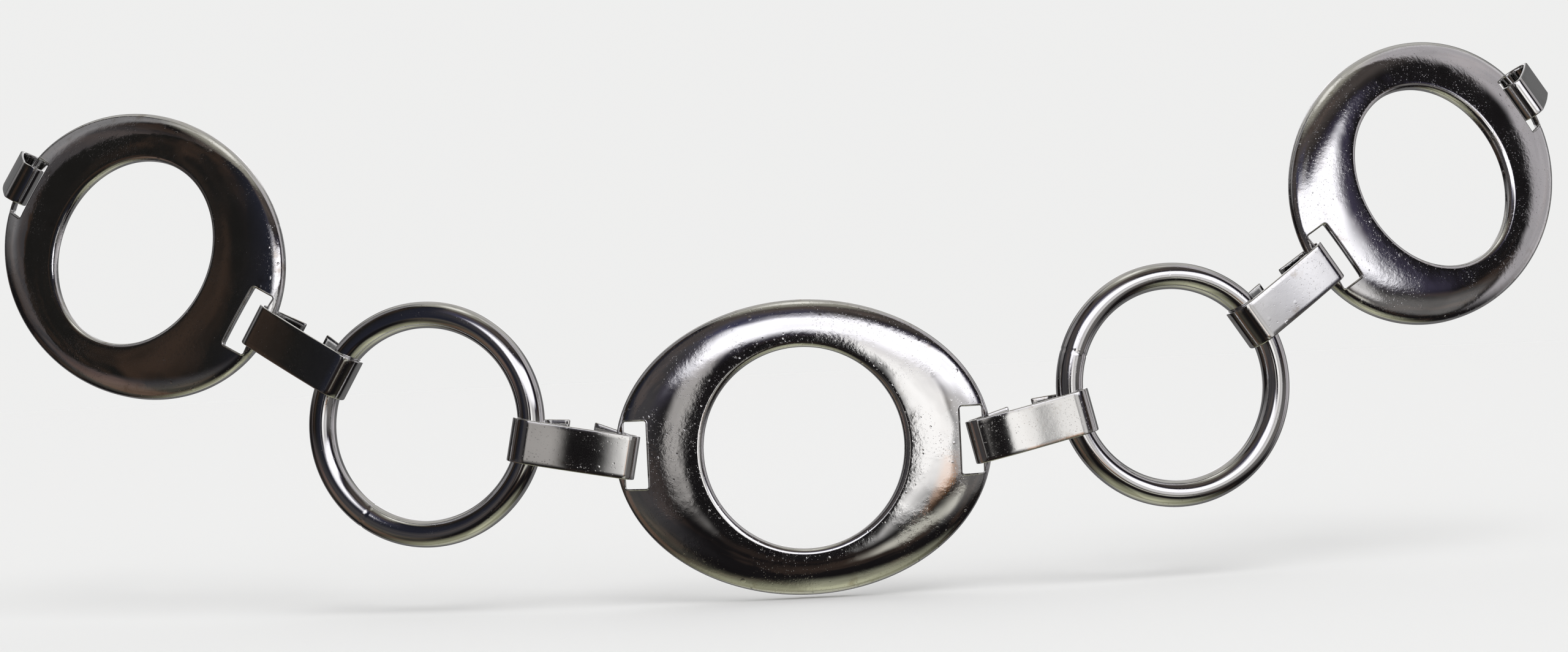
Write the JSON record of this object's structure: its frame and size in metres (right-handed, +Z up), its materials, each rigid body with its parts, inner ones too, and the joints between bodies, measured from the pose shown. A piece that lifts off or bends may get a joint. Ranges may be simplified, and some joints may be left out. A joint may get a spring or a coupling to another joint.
{
  "type": "chain link belt",
  "caption": "Front run of a chrome link belt: domed oval plates with round holes, joined to round wire rings by folded strap links.",
  "frame": {"origin": "middle of the centre plate, in the plane of its back edge, where it lies against the wearer", "axes": "+Z up as worn, +X along the belt to the right-hand end, front faces -Y"},
  "size_m": [0.3677, 0.0704, 0.113],
  "materials": {
    "plates": "bright chrome plate on stamped sheet, finely pitted and scratched",
    "rings": "bright chrome plate on round wire",
    "links": "chrome plate on flat strip, lightly brushed and worn"
  },
  "bodies": {
    "centre_plate": {"centre_plate": "plates"},
    "left_inner_link": {"left_inner_link": "links"},
    "left_ring": {"left_ring": "rings"},
    "left_outer_link": {"left_outer_link": "links"},
    "left_plate": {"left_plate": "plates"},
    "left_end_link": {"left_end_link": "links"},
    "right_inner_link": {"right_inner_link": "links"},
    "right_ring": {"right_ring": "rings"},
    "right_outer_link": {"right_outer_link": "links"},
    "right_plate": {"right_plate": "plates"},
    "right_end_link": {"right_end_link": "links"}
  },
  "joints": [
    {"name": "left_slot_fold", "type": "hinge", "parent": "centre_plate", "child": "left_inner_link", "pos_m": [-0.0377, -0.00131, 0], "axis": [0, 0, -1], "range_deg": [-35, 25]},
    {"name": "left_ring_fold", "type": "hinge", "parent": "left_inner_link", "child": "left_ring", "pos_m": [-0.05631, -0.00048, 0.00375], "axis": [-0.1977, 0, -0.9803], "range_deg": [-30, 20]},
    {"name": "left_outer_ring_fold", "type": "hinge", "parent": "left_ring", "child": "left_outer_link", "pos_m": [-0.0969, 0.00755, 0.01958], "axis": [-0.5074, 0.0613, -0.8595], "range_deg": [-30, 20]},
    {"name": "left_plate_fold", "type": "hinge", "parent": "left_outer_link", "child": "left_plate", "pos_m": [-0.11325, 0.01269, 0.02959], "axis": [-0.5135, 0, -0.8581], "range_deg": [-33, 25]},
    {"name": "left_end_fold", "type": "hinge", "parent": "left_plate", "child": "left_end_link", "pos_m": [-0.17324, 0.04093, 0.0655], "axis": [-0.5135, 0, -0.8581], "range_deg": [-60, 25]},
    {"name": "right_slot_fold", "type": "hinge", "parent": "centre_plate", "child": "right_inner_link", "pos_m": [0.0377, -0.00131, 0], "axis": [0, 0, 1], "range_deg": [-35, 25]},
    {"name": "right_ring_fold", "type": "hinge", "parent": "right_inner_link", "child": "right_ring", "pos_m": [0.05613, 0.00068, 0.00419], "axis": [-0.2215, 0, 0.9751], "range_deg": [-30, 20]},
    {"name": "right_outer_ring_fold", "type": "hinge", "parent": "right_ring", "child": "right_outer_link", "pos_m": [0.09605, 0.00822, 0.02156], "axis": [-0.5528, -0.0626, 0.8309], "range_deg": [-30, 20]},
    {"name": "right_plate_fold", "type": "hinge", "parent": "right_outer_link", "child": "right_plate", "pos_m": [0.11207, 0.01235, 0.03253], "axis": [-0.5402, 0, 0.8415], "range_deg": [-33, 25]},
    {"name": "right_end_fold", "type": "hinge", "parent": "right_plate", "child": "right_end_link", "pos_m": [0.16962, 0.04409, 0.06948], "axis": [-0.5402, 0, 0.8415], "range_deg": [-60, 25]}
  ]
}
